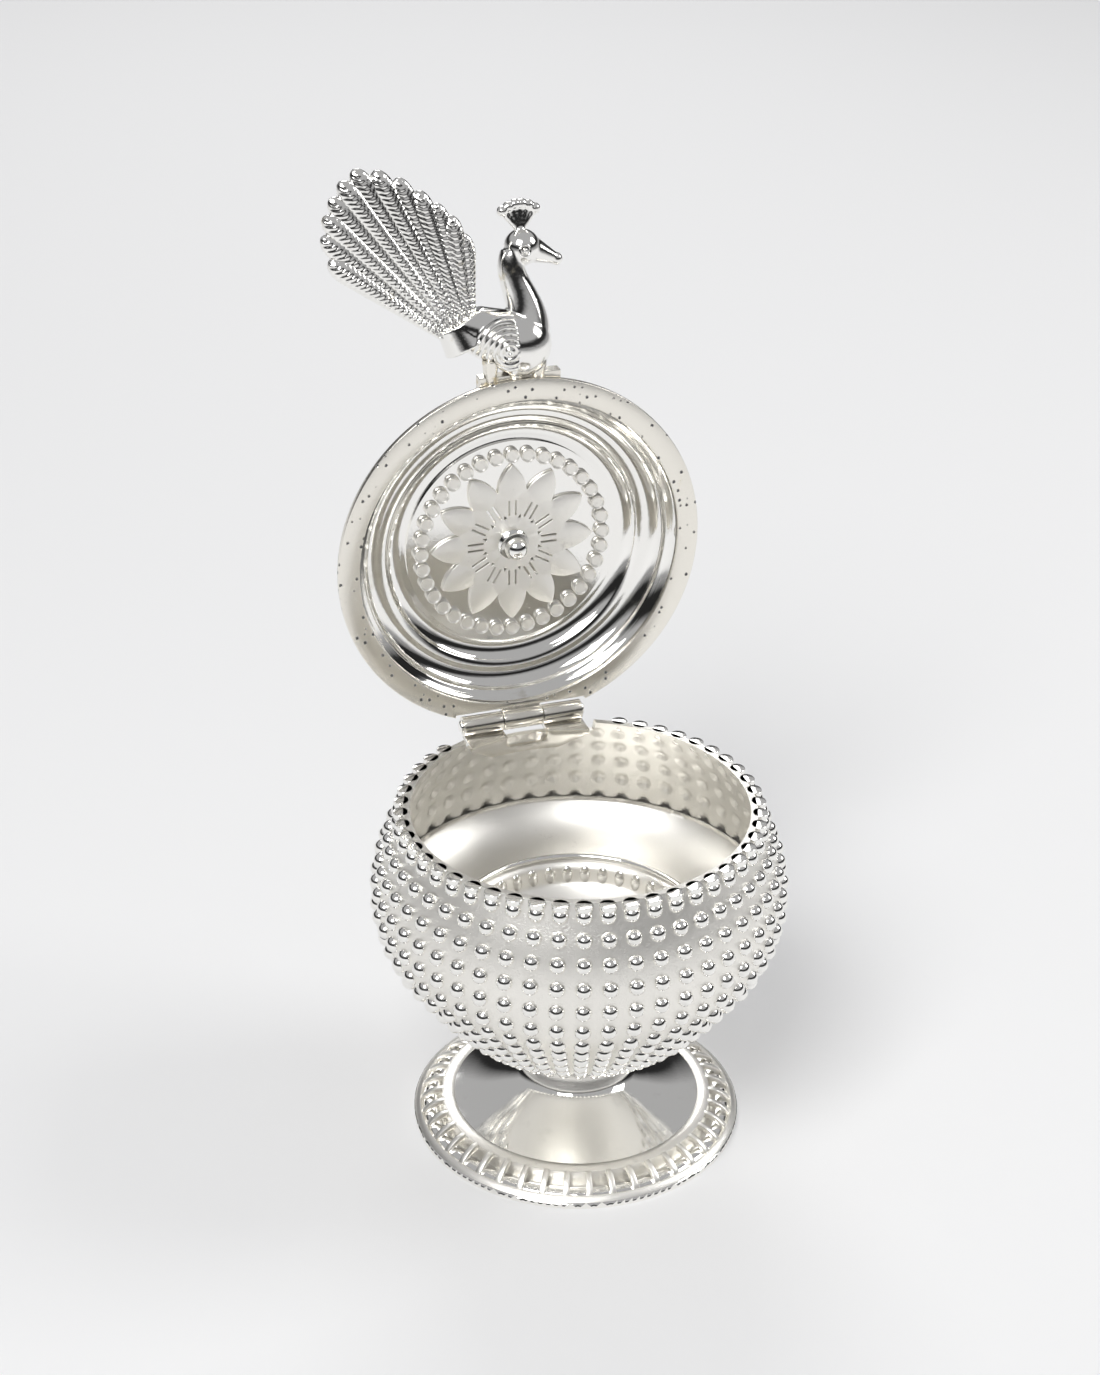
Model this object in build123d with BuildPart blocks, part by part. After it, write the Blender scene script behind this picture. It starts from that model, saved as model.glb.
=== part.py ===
from build123d import *
from math import asin, atan2, cos, degrees, pi, radians, sin, sqrt
import os

# Sindoor box: a bowl on a low trumpet foot, with a hinged lid and a peacock on the lid's edge.
# The bowl is a smooth shell here: its rows of small beads and its scalloped rim are surface work.
# Millimetres. The origin is the centre of the foot's underside, +Z is up, and the hinge is at +Y.
# The lid is modelled open, as it stands in the rest pose.

os.makedirs("parts", exist_ok=True)

# Foot
foot_radius = 24.2
foot_plate_thickness = 1.0
foot_plate_inner_radius = 15.8
border_outer_band = 1.1
border_cell_length = 2.9
border_inner_band = 1.9
border_thickness = 1.1
border_cells = 42
border_rib_width = 1.2
bead_moulding_height = 0.75

# Stem
stem_wall = 0.8
stem_sweep = (3.2, 2.9)
stem_sweep_inside = (2.2, 3.3)
neck_radius = 7.2
neck_lip = 0.6
neck_lip_height = 0.7
neck_length = 1.1
neck_inside_drop = 0.4
stem_height = 8.3
collar_radius = 8.5
collar_height = 1.9
collar_bore = 5.0
collar_rounding = 0.42

# Bowl
mouth_height = 52.6
mouth_radius = 25.1
shoulder_radius = 27.4
shoulder_drop = 5.2
belly_radius = 29.1
belly_height = 40.0
waist_radius = 25.2
waist_height = 28.2
keel_radius = 20.3
keel_height = 20.8
bowl_base_radius = 7.6
bowl_wall = 1.0

# Raised floor inside the bowl
floor_sheet = 0.8
floor_radius = 16.4
floor_height = 25.0
floor_step_radius = 17.4
floor_step_height = 28.6
floor_ledge_radius = 19.0
floor_slope_radius = 23.8
floor_slope_height = 30.3
floor_edge_gap = 0.1
floor_edge_share = 0.5
floor_edge_depth = 0.1
floor_ring_radius = 18.2
floor_ring_wire = 0.6

# Hinge
hinge_reach = 26.8
barrel_radius = 1.5
pin_radius = 0.55
pin_clearance = 0.05
knuckle_count = 3
knuckle_length = 6.0
knuckle_gap = 0.2
pin_head_radius = 0.95
pin_head_length = 0.55
pin_head_rounding = 0.8
leaf_thickness = 0.7
leaf_depth = 5.0
leaf_bottom_width = 10.5
leaf_window_drop = 3.6
leaf_corner = 1.2
rim_clearance = 0.35
solder_gap = 0.03

# Lid
open_angle = 90.0
lid_radius = 27.35
lid_seat_gap = 0.25
flange_inner_radius = 24.2
flange_thickness = 0.9
dome_sheet = 0.8
dome_wall_depth = 1.1
dome_ledge = 1.0
dome_cove_radius = 20.6
dome_cove_depth = 2.2
dome_cove_bend = 1.3
dome_band = 1.2
dome_disc_radius = 16.4
dome_disc_depth = 1.4
dome_disc_bend = 1.9
edge_bead_radius = 0.8
edge_bead_crown = 0.45
edge_bead_count = 64
edge_bead_inset = 1.15
edge_wire_width = 1.0
edge_wire_height = 0.4

# Medallion inside the lid
plate_radius = 16.0
plate_thickness = 0.7
flat_bead_radius = 1.1
flat_bead_count = 36
flat_bead_ring = 13.9
flat_bead_thickness = 0.8
petal_count = 12
petal_start = 3.2
petal_tip = 12.4
petal_width = 4.3
petal_thickness = 0.6
petal_slit_width = 0.3
petal_slit_length = 2.4
petal_slit_step = 0.5
petal_slit_gap = 0.3
petal_belly = 8.6
petal_hub_radius = 4.1
boss_radius = 1.75
boss_dish_radius = 2.3
boss_dish_thickness = 0.5
boss_lift = 1.4
rivet_radius = 0.75
rivet_clearance = 0.05
rivet_head_radius = 1.6
rivet_head_thickness = 0.5

# Peacock, in its own upright plane: across, up and thick
bird_lean = 15.0
perch_length = 12.0
perch_rise = 0.5
perch_height = 1.7
breast_centre = (0.4, 5.5)
breast_radius = 4.6
rump_radius = 2.9
sleeve_root_radius = 3.5
sleeve_radius = 2.8
sleeve_length = 3.6
neck_stations = ((1.5, 7.0, 92, 3.5), (1.7, 9.8, 100, 2.8), (0.9, 12.9, 106, 2.25), (0.1, 15.8, 95, 1.95),
                 (0.7, 18.2, 72, 1.9))
tail_first_angle = 91.0
tail_last_angle = 142.0
tail_root = (-6.2, 4.3)
tail_start = 5.6
tail_lengths = (16.6, 19.3, 21.4, 23.8, 26.5, 28.8, 30.5, 30.3, 29.5, 28.4, 26.9, 24.2)
feather_tip_radius = 1.25
feather_root_radius = 0.35
feather_thickness = 1.3
feather_step = 0.25
quill_width = 0.45
quill_relief = 0.25
head_centre = (1.9, 18.8)
head_radius = 2.6
beak_tip = (7.0, 16.6)
beak_root_radius = 1.15
beak_tip_radius = 0.45
crest_plumes = 6
crest_first_angle = 122.0
crest_last_angle = 58.0
crest_length = 5.0
crest_wire = 0.33
crest_knob = 0.62
leg_stations = ((-4.3, 4.0, 0.8, 1.2), (-0.6, 4.2, 0.8, 1.7), (2.6, 4.2, 0.8, 1.7))

# Places worked out from the sizes above
border_radius_out = foot_radius - border_outer_band
border_radius_in = border_radius_out - border_cell_length
stem_foot_radius = border_radius_in - border_inner_band
border_top = foot_plate_thickness + border_thickness
bowl_bottom = stem_height + collar_height
hinge_point = Vector(0, hinge_reach, mouth_height)
hinge_half_length = knuckle_count * knuckle_length / 2 + knuckle_gap
bore_radius = pin_radius + pin_clearance
notch_half_width = hinge_half_length + pin_head_length + rim_clearance
notch_floor = mouth_height - barrel_radius - rim_clearance
flange_notch = hinge_reach - barrel_radius - rim_clearance

# The lid's own directions: out of its top, and from the hinge to its free edge
turn = radians(open_angle)
lid_out = Vector(0, sin(turn), cos(turn))
lid_front = Vector(0, -cos(turn), sin(turn))
lid_centre = hinge_point + lid_front * hinge_reach + lid_out * lid_seat_gap
lid_axis = Axis(lid_centre, lid_out)
lid_section = Plane(origin=lid_centre, x_dir=(1, 0, 0), z_dir=lid_front)


def lid_plane(depth):
    """Plane parallel to the lid's flange, at a depth behind its inner face."""
    return Plane(origin=lid_centre + lid_out * depth, x_dir=(1, 0, 0), z_dir=lid_out)


def ring_section(plane, inner, outer, low, high):
    """Rectangle of a plain ring, drawn in the XZ plane or in the lid's section plane."""
    with BuildSketch(plane) as section:
        with Locations(((inner + outer) / 2, (low + high) / 2)):
            Rectangle(outer - inner, high - low)
    return section


# Foot plate: the flat ring that the box stands on, with the half-round moulding seen in the windows
moulding_radius = (border_radius_in + border_radius_out) / 2
with BuildPart() as foot_plate:
    with BuildSketch(Plane.XZ):
        with BuildLine():
            Polyline((border_radius_out, foot_plate_thickness), (foot_radius, foot_plate_thickness),
                     (foot_radius, 0), (foot_plate_inner_radius, 0),
                     (foot_plate_inner_radius, foot_plate_thickness),
                     (border_radius_in, foot_plate_thickness))
            ThreePointArc((border_radius_in, foot_plate_thickness),
                          (moulding_radius, foot_plate_thickness + bead_moulding_height),
                          (border_radius_out, foot_plate_thickness))
        make_face()
    revolve(axis=Axis.Z)

# Foot border: two bands joined by radial ribs, with a window between each two ribs
with BuildPart() as foot_border:
    with BuildSketch(Plane.XY.offset(foot_plate_thickness)):
        Circle(foot_radius)
        Circle(stem_foot_radius, mode=Mode.SUBTRACT)
        with PolarLocations(0, border_cells):
            with Locations((moulding_radius, 0)):
                cell_width = 2 * pi * moulding_radius / border_cells - border_rib_width
                SlotOverall(border_cell_length, cell_width, mode=Mode.SUBTRACT)
    extrude(amount=border_thickness)
    add(foot_plate.part, mode=Mode.SUBTRACT)

# Stem: a spun trumpet with a narrow neck and a lip
with BuildPart() as stem:
    with BuildSketch(Plane.XZ):
        with BuildLine():
            lip_radius = neck_radius + neck_lip
            lip_low = stem_height - neck_lip_height - neck_length
            Polyline((neck_radius - stem_wall, stem_height), (neck_radius, stem_height),
                     (neck_radius, lip_low + neck_lip_height), (lip_radius, lip_low + neck_lip_height),
                     (lip_radius, lip_low))
            ThreePointArc((lip_radius, lip_low), (lip_radius + stem_sweep[0], lip_low - stem_sweep[1]),
                          (stem_foot_radius, border_top))
            Polyline((stem_foot_radius, border_top), (stem_foot_radius, foot_plate_thickness),
                     (stem_foot_radius - stem_wall, foot_plate_thickness))
            ThreePointArc((stem_foot_radius - stem_wall, foot_plate_thickness),
                          (lip_radius + stem_sweep_inside[0], lip_low - stem_sweep_inside[1]),
                          (neck_radius - stem_wall, lip_low - neck_inside_drop))
            Line((neck_radius - stem_wall, lip_low - neck_inside_drop), (neck_radius - stem_wall, stem_height))
        make_face()
    revolve(axis=Axis.Z)

# Collar: the rounded ring between the neck and the bowl
with BuildPart() as stem_collar:
    ring = ring_section(Plane.XZ, collar_bore, collar_radius, stem_height, bowl_bottom)
    revolve(ring.sketch, axis=Axis.Z)
    fillet(stem_collar.edges().filter_by(GeomType.CIRCLE).group_by(SortBy.RADIUS)[-1],
           collar_rounding * collar_height)

# Bowl: one spun shell, open at the top and cut away at the mouth for the hinge
with BuildPart() as bowl:
    with BuildSketch(Plane.XZ):
        with BuildLine():
            neck_line = Line((mouth_radius, mouth_height), (shoulder_radius, mouth_height - shoulder_drop))
            shoulder_arc = TangentArc(neck_line @ 1, (belly_radius, belly_height), tangent=neck_line % 1)
            belly_arc = TangentArc(shoulder_arc @ 1, (waist_radius, waist_height), tangent=shoulder_arc % 1)
            waist_arc = TangentArc(belly_arc @ 1, (keel_radius, keel_height), tangent=belly_arc % 1)
            keel_arc = TangentArc(waist_arc @ 1, (bowl_base_radius, bowl_bottom), tangent=waist_arc % 1)
            Polyline((bowl_base_radius, bowl_bottom), (0, bowl_bottom), (0, mouth_height),
                     (mouth_radius, mouth_height))
        make_face()
    revolve(axis=Axis.Z)
    offset(amount=-bowl_wall, openings=bowl.faces().sort_by(Axis.Z)[-1])

with bowl:
    with Locations((0, mouth_radius, notch_floor)):
        Box(2 * notch_half_width, mouth_radius, mouth_height, align=(Align.CENTER, Align.CENTER, Align.MIN),
            mode=Mode.SUBTRACT)


# Bowl floor: a dished pan held in the bowl, with a step down to a flat well
def inside_belly(share):
    """Point just inside the bowl's wall, at a share of its belly curve."""
    place = belly_arc @ share
    slope = belly_arc % share
    inset = bowl_wall + floor_edge_gap
    return (place.X + slope.Y * inset, place.Y - slope.X * inset)


with BuildPart() as bowl_floor:
    with BuildSketch(Plane.XZ):
        with BuildLine():
            Polyline((0, floor_height - floor_sheet), (0, floor_height), (floor_radius, floor_height),
                     (floor_step_radius, floor_step_height), (floor_ledge_radius, floor_step_height))
            ThreePointArc((floor_ledge_radius, floor_step_height), (floor_slope_radius, floor_slope_height),
                          inside_belly(floor_edge_share))
            Line(inside_belly(floor_edge_share), inside_belly(floor_edge_share + floor_edge_depth))
            ThreePointArc(inside_belly(floor_edge_share + floor_edge_depth),
                          (floor_slope_radius, floor_slope_height - floor_sheet),
                          (floor_ledge_radius, floor_step_height - floor_sheet))
            Polyline((floor_ledge_radius, floor_step_height - floor_sheet),
                     (floor_step_radius + floor_sheet, floor_step_height - floor_sheet),
                     (floor_radius + floor_sheet, floor_height - floor_sheet), (0, floor_height - floor_sheet))
        make_face()
    revolve(axis=Axis.Z)

# Floor ring: a wire soldered round the top of the step
with BuildPart() as bowl_floor_ring:
    with BuildSketch(Plane.XZ):
        with Locations((floor_ring_radius, floor_step_height + floor_ring_wire)):
            Circle(floor_ring_wire)
    revolve(axis=Axis.Z)

# Hinge leaf on the bowl: a plate inside the wall, two tabs over the mouth and two knuckles
neck_slope = (shoulder_radius - mouth_radius) / shoulder_drop
wall_slant = sqrt(1 + neck_slope ** 2)
leaf_high = notch_floor + leaf_thickness
leaf_low = mouth_height - leaf_depth
leaf_half_angle = degrees(asin(hinge_half_length / (mouth_radius - bowl_wall)))
knuckle_start = knuckle_length / 2 + knuckle_gap


def inside_neck(height):
    """Radius just inside the bowl's sloping neck, at a height."""
    return mouth_radius + neck_slope * (mouth_height - height) - (bowl_wall + solder_gap) * wall_slant


with BuildPart() as hinge_bowl_leaf:
    side = radians(leaf_half_angle)
    with BuildSketch(Plane(origin=(0, 0, 0), x_dir=(sin(side), cos(side), 0), z_dir=(cos(side), -sin(side), 0))):
        with BuildLine():
            Polyline((inside_neck(leaf_low), leaf_low), (inside_neck(leaf_high), leaf_high),
                     (inside_neck(leaf_high) - leaf_thickness, leaf_high),
                     (inside_neck(leaf_low) - leaf_thickness, leaf_low), close=True)
        make_face()
    revolve(axis=Axis.Z, revolution_arc=2 * leaf_half_angle)
    with BuildSketch(Plane.XZ):
        with BuildLine():
            Polyline((-hinge_half_length, leaf_high), (hinge_half_length, leaf_high),
                     (hinge_half_length, notch_floor), (leaf_bottom_width / 2, leaf_low),
                     (-leaf_bottom_width / 2, leaf_low), (-hinge_half_length, notch_floor), close=True)
        make_face()
        fillet(vertices().group_by(Axis.Y)[0], leaf_corner)
    extrude(amount=-shoulder_radius, mode=Mode.INTERSECT)
    with BuildSketch(Plane.XY.offset(notch_floor)):
        with Locations((0, hinge_reach / 2)):
            Rectangle(2 * hinge_half_length, hinge_reach)
        Circle(inside_neck(notch_floor) - leaf_thickness, mode=Mode.SUBTRACT)
    extrude(amount=leaf_thickness)
    with BuildSketch(Plane.YZ.offset(-hinge_half_length)):
        with Locations((hinge_reach, mouth_height)):
            Circle(barrel_radius)
    extrude(amount=2 * hinge_half_length)
    with BuildSketch(Plane.YZ):
        with Locations((hinge_reach, mouth_height)):
            Circle(bore_radius)
    extrude(amount=hinge_half_length, both=True, mode=Mode.SUBTRACT)
    with BuildSketch(Plane.XZ):
        with Locations((0, mouth_height - leaf_window_drop)):
            Rectangle(2 * knuckle_start, 2 * leaf_window_drop, align=(Align.CENTER, Align.MIN))
        fillet(vertices().group_by(Axis.Y)[0], leaf_corner)
    extrude(amount=-2 * hinge_reach, mode=Mode.SUBTRACT)

# Hinge pin: riveted over at both ends
with BuildPart() as hinge_pin:
    with BuildSketch(Plane.YZ):
        with Locations((hinge_reach, mouth_height)):
            Circle(pin_radius)
    extrude(amount=hinge_half_length, both=True)
    for end in (-1, 1):
        with BuildSketch(Plane(origin=(end * hinge_half_length, hinge_reach, mouth_height), x_dir=(0, 1, 0),
                               z_dir=(end, 0, 0))):
            Circle(pin_head_radius)
        extrude(amount=pin_head_length)
    fillet(hinge_pin.edges().filter_by(GeomType.CIRCLE).sort_by(Axis.X)[0], pin_head_rounding * pin_head_length)
    fillet(hinge_pin.edges().filter_by(GeomType.CIRCLE).sort_by(Axis.X)[-1], pin_head_rounding * pin_head_length)

# Hinge leaf on the lid: the middle knuckle and the tab that meets the flange
with BuildPart() as hinge_lid_leaf:
    with BuildSketch(Plane.YZ):
        with Locations((hinge_reach, mouth_height)):
            Circle(barrel_radius)
    extrude(amount=knuckle_length / 2, both=True)
    with BuildSketch(lid_plane(0)):
        with Locations((0, (flange_notch + hinge_reach) / 2)):
            Rectangle(knuckle_length, hinge_reach - flange_notch)
    extrude(amount=flange_thickness)
    with BuildSketch(Plane.YZ):
        with Locations((hinge_reach, mouth_height)):
            Circle(bore_radius)
    extrude(amount=knuckle_length, both=True, mode=Mode.SUBTRACT)

# Lid flange: the flat ring that closes on the mouth, cut away for the hinge
with BuildPart() as lid_flange:
    with BuildSketch(lid_plane(0)):
        Circle(lid_radius)
        Circle(flange_inner_radius, mode=Mode.SUBTRACT)
        with Locations((0, flange_notch)):
            Rectangle(2 * notch_half_width, lid_radius, align=(Align.CENTER, Align.MIN), mode=Mode.SUBTRACT)
    extrude(amount=flange_thickness)

# Lid dome: one spun sheet with a wall, two coves and a flat disc
ledge_depth = flange_thickness + dome_wall_depth
band_depth = ledge_depth + dome_cove_depth
disc_depth = band_depth + dome_disc_depth
dome_band_radius = dome_cove_radius - dome_band
cove_start = flange_inner_radius - dome_ledge
hole_radius = rivet_radius + rivet_clearance
with BuildPart() as lid_dome:
    with BuildSketch(lid_section):
        with BuildLine():
            Polyline((flange_inner_radius, flange_thickness), (flange_inner_radius, ledge_depth),
                     (cove_start, ledge_depth))
            RadiusArc((cove_start, ledge_depth), (dome_cove_radius, band_depth),
                      -dome_cove_bend * dome_cove_depth)
            Line((dome_cove_radius, band_depth), (dome_band_radius, band_depth))
            RadiusArc((dome_band_radius, band_depth), (dome_disc_radius, disc_depth),
                      -dome_disc_bend * dome_disc_depth)
            Line((dome_disc_radius, disc_depth), (hole_radius, disc_depth))
            offset(amount=dome_sheet, side=Side.RIGHT)
        make_face()
    revolve(axis=lid_axis)

# Edge beading: a beaded wire on the flange's outer face, left out at the hinge and at the perch
beading_radius = lid_radius - edge_bead_inset
outer_face = lid_plane(flange_thickness)
with BuildPart() as edge_bead:
    with BuildSketch(Plane.XY):
        RegularPolygon(edge_bead_radius, 6)
    with BuildSketch(Plane.XY.offset(edge_bead_radius)):
        RegularPolygon(edge_bead_crown * edge_bead_radius, 6)
    loft()

with BuildPart() as edge_beading:
    with BuildSketch(outer_face):
        Circle(beading_radius + edge_wire_width / 2)
        Circle(beading_radius - edge_wire_width / 2, mode=Mode.SUBTRACT)
    extrude(amount=edge_wire_height)
    with Locations(outer_face):
        with PolarLocations(beading_radius, edge_bead_count):
            add(edge_bead.part)
    with BuildSketch(outer_face):
        Rectangle(2 * notch_half_width, 2 * lid_radius, align=(Align.CENTER, Align.MIN))
        Rectangle(perch_length + 2 * rim_clearance, 2 * lid_radius, align=(Align.CENTER, Align.MAX))
    extrude(amount=2 * edge_bead_radius, mode=Mode.SUBTRACT)

# Medallion: a plate, a ring of flat beads, a flower with slit petals, and a riveted boss
plate_depth = disc_depth - plate_thickness
bead_depth = plate_depth - flat_bead_thickness
petal_depth = plate_depth - petal_thickness
dish_depth = petal_depth - boss_dish_thickness
with BuildPart() as medallion_plate:
    with BuildSketch(lid_plane(plate_depth)):
        Circle(plate_radius)
        Circle(hole_radius, mode=Mode.SUBTRACT)
    extrude(amount=plate_thickness)

with BuildPart() as medallion_beading:
    with BuildSketch(lid_plane(bead_depth)):
        with PolarLocations(flat_bead_ring, flat_bead_count):
            RegularPolygon(flat_bead_radius, 8)
    extrude(amount=flat_bead_thickness)

with BuildSketch() as petal:
    with BuildLine():
        ThreePointArc((petal_start, 0), (petal_belly, petal_width / 2), (petal_tip, 0))
        ThreePointArc((petal_tip, 0), (petal_belly, -petal_width / 2), (petal_start, 0))
    make_face()
    with Locations((petal_hub_radius + petal_slit_length / 2 + petal_slit_gap, -petal_slit_step),
                   (petal_hub_radius + petal_slit_length / 2 + petal_slit_gap, petal_slit_step)):
        Rectangle(petal_slit_length, petal_slit_width, mode=Mode.SUBTRACT)

with BuildPart() as medallion_petals:
    with BuildSketch(lid_plane(petal_depth)):
        with PolarLocations(0, petal_count):
            add(petal.sketch)
        Circle(petal_hub_radius)
        Circle(hole_radius, mode=Mode.SUBTRACT)
    extrude(amount=petal_thickness)

with BuildPart() as medallion_boss:
    with BuildSketch(lid_plane(dish_depth)):
        Circle(boss_dish_radius)
    extrude(amount=boss_dish_thickness)
    with BuildSketch(lid_plane(petal_depth)):
        Circle(rivet_radius)
    extrude(amount=disc_depth + dome_sheet - petal_depth)
    with BuildSketch(lid_plane(disc_depth + dome_sheet)):
        Circle(rivet_head_radius)
    extrude(amount=rivet_head_thickness)
    with Locations(lid_plane(dish_depth - boss_lift)):
        Sphere(boss_radius)

# Peacock: its pieces are drawn in the bird's own plane and stand on the perch at the lid's free edge
lean = radians(bird_lean)
bird_up = lid_front * cos(lean) + lid_out * sin(lean)
perch_top = lid_radius + perch_rise
bird_foot = lid_centre + lid_front * perch_top + lid_out * (flange_thickness + perch_height / 2)
bird_plane = Plane(origin=bird_foot, x_dir=(1, 0, 0), z_dir=Vector(1, 0, 0).cross(bird_up))


def spine_plane(across, up, heading):
    """Plane square to the bird's spine, at a place in the bird's plane and a heading in degrees."""
    along = radians(heading)
    return Plane(origin=(across, up, 0), x_dir=(-sin(along), cos(along), 0), z_dir=(cos(along), sin(along), 0))


with BuildPart() as perch:
    with BuildSketch(outer_face):
        with Locations((0, -perch_top)):
            Rectangle(perch_length, perch_top, align=(Align.CENTER, Align.MIN))
        Circle(flange_inner_radius + dome_sheet + solder_gap, mode=Mode.SUBTRACT)
    extrude(amount=perch_height)

# Body: a round breast, a rump that narrows to the tail's sleeve, the neck, the head and the beak
tail_heading = (tail_first_angle + tail_last_angle) / 2
tail_seat = spine_plane(*tail_root, tail_heading).offset(tail_start)
rump_heading = degrees(atan2(tail_seat.origin.Y - breast_centre[1], tail_seat.origin.X - breast_centre[0]))
rump_length = (tail_seat.origin - Vector(*breast_centre, 0)).length
beak_heading = degrees(atan2(beak_tip[1] - head_centre[1], beak_tip[0] - head_centre[0]))
beak_length = sqrt((beak_tip[0] - head_centre[0]) ** 2 + (beak_tip[1] - head_centre[1]) ** 2)
with BuildPart() as bird_body:
    with Locations(breast_centre):
        Sphere(breast_radius)
    with Locations(spine_plane(*breast_centre, rump_heading)):
        Cone(breast_radius, rump_radius, rump_length, align=(Align.CENTER, Align.CENTER, Align.MIN))
    with Locations(tail_seat):
        Cone(sleeve_root_radius, sleeve_radius, sleeve_length, align=(Align.CENTER, Align.CENTER, Align.MAX))
    split(bisect_by=tail_seat, keep=Keep.BOTTOM)
    for across, up, heading, width in neck_stations:
        with BuildSketch(spine_plane(across, up, heading)):
            Circle(width)
    loft()
    with Locations(head_centre):
        Sphere(head_radius)
    with Locations(spine_plane(*head_centre, beak_heading)):
        Cone(beak_root_radius, beak_tip_radius, beak_length, align=(Align.CENTER, Align.CENTER, Align.MIN))

with BuildPart() as peacock_body:
    with Locations(bird_plane):
        add(bird_body.part)

# Tail: a fan of feathers, every second one standing higher, each with a quill along its middle
with BuildPart() as bird_tail:
    feather_turn = (tail_last_angle - tail_first_angle) / (len(tail_lengths) - 1)
    for index, length in enumerate(tail_lengths):
        feather_rise = feather_thickness / 2 + feather_step * (index % 2)
        with BuildSketch():
            with Locations(Pos(*tail_root) * Rot(0, 0, tail_first_angle + index * feather_turn)):
                with Locations((tail_start, 0)):
                    Circle(feather_root_radius)
                with Locations((length - feather_tip_radius, 0)):
                    Circle(feather_tip_radius)
            make_hull()
        extrude(amount=feather_rise, both=True)
        with BuildSketch():
            with Locations(Pos(*tail_root) * Rot(0, 0, tail_first_angle + index * feather_turn)):
                with Locations((tail_start, 0)):
                    Rectangle(length - tail_start - feather_tip_radius, quill_width,
                              align=(Align.MIN, Align.CENTER))
        extrude(amount=feather_rise + quill_relief, both=True)
    split(bisect_by=tail_seat, keep=Keep.TOP)

with BuildPart() as peacock_tail:
    with Locations(bird_plane):
        add(bird_tail.part)

# Crest: a fan of wires with a knob on each
with BuildPart() as bird_crest:
    crest_turn = (crest_last_angle - crest_first_angle) / (crest_plumes - 1)
    for index in range(crest_plumes):
        heading = crest_first_angle + index * crest_turn
        with Locations(spine_plane(*head_centre, heading)):
            Cylinder(crest_wire, crest_length, align=(Align.CENTER, Align.CENTER, Align.MIN))
        with Locations(spine_plane(*head_centre, heading).offset(crest_length)):
            Sphere(crest_knob)
    with Locations(head_centre):
        Sphere(head_radius, mode=Mode.SUBTRACT)

with BuildPart() as peacock_crest:
    with Locations(bird_plane):
        add(bird_crest.part)

# Legs: two feathered legs and the post behind them, standing on the perch
leg_plane = Plane(origin=bird_foot, x_dir=(1, 0, 0), z_dir=lid_front)
with BuildPart() as peacock_legs:
    for across, reach, low_radius, high_radius in leg_stations:
        with Locations(leg_plane):
            with Locations((across, 0)):
                Cone(low_radius, high_radius, reach, align=(Align.CENTER, Align.CENTER, Align.MIN))
    add(peacock_body.part, mode=Mode.SUBTRACT)

for name, piece in (("foot_plate", foot_plate), ("foot_border", foot_border), ("stem", stem),
                    ("stem_collar", stem_collar), ("bowl", bowl), ("bowl_floor", bowl_floor),
                    ("bowl_floor_ring", bowl_floor_ring), ("hinge_bowl_leaf", hinge_bowl_leaf),
                    ("hinge_pin", hinge_pin), ("hinge_lid_leaf", hinge_lid_leaf), ("lid_flange", lid_flange),
                    ("lid_dome", lid_dome), ("edge_beading", edge_beading), ("medallion_plate", medallion_plate),
                    ("medallion_beading", medallion_beading), ("medallion_petals", medallion_petals),
                    ("medallion_boss", medallion_boss), ("peacock_perch", perch), ("peacock_body", peacock_body),
                    ("peacock_tail", peacock_tail), ("peacock_crest", peacock_crest),
                    ("peacock_legs", peacock_legs)):
    piece.part.label = name
    print(name, round(piece.part.volume, 2), piece.part.bounding_box().size, len(piece.part.solids()))
    export_step(piece.part, "parts/" + name + ".step")
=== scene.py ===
"""Looks of a silver sindoor box: a beaded bowl on a pierced foot, a domed lid and a peacock.

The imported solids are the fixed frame. Pieces whose solid has the right shape are dressed as smooth copies.
The foot's border and stem, the beads, the scalloped mouth, the feathers and the carving are modelled here.
"""

import logging
import math
from dataclasses import dataclass, field
from enum import Enum
from typing import Callable

import bmesh
import bpy
from mathutils import Matrix, Vector

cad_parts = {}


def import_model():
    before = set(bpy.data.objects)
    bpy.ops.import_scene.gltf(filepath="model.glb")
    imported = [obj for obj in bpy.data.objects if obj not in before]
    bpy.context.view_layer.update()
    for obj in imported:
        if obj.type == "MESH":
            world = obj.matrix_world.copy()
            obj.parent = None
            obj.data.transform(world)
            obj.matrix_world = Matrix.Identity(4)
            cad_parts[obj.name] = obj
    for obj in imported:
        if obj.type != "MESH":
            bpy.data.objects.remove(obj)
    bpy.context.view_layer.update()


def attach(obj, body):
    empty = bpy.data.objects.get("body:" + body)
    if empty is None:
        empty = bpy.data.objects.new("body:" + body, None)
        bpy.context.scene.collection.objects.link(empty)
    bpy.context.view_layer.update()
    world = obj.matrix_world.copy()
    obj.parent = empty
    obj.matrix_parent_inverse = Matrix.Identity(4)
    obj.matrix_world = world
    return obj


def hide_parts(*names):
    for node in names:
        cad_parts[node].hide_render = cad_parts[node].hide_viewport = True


MM = 0.001
LOG = logging.getLogger("sindoor_box")
Pair = tuple[float, float]
Point = tuple[float, float, float]
Colour = tuple[float, float, float]
Outline = tuple[Pair, ...]
Item = bpy.types.Object
Tree = bpy.types.NodeTree
Socket = bpy.types.NodeSocket
Node = bpy.types.Node

TRIM_ANGLE = 40.0
EDGE_ANGLE = 50.0
ROUND_ANGLE = 60.0
CAST_ANGLE = 80.0
MERGE_GAP = 0.002
SPUN_GAP = 0.005
UP = Vector((0, 0, 1))
RIGHT = Vector((1, 0, 0))
BACK = Vector((0, 1, 0))


class Body(Enum):
    """The two bodies of the box."""

    BASE = "base"
    LID = "lid"


class Effect(Enum):
    """Shared surface effects, each one a shader node group."""

    CLOUD = "silver_cloud"
    GRAIN = "frosted_grain"
    PITS = "casting_pits"
    SPUN = "spun_lines"


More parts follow.
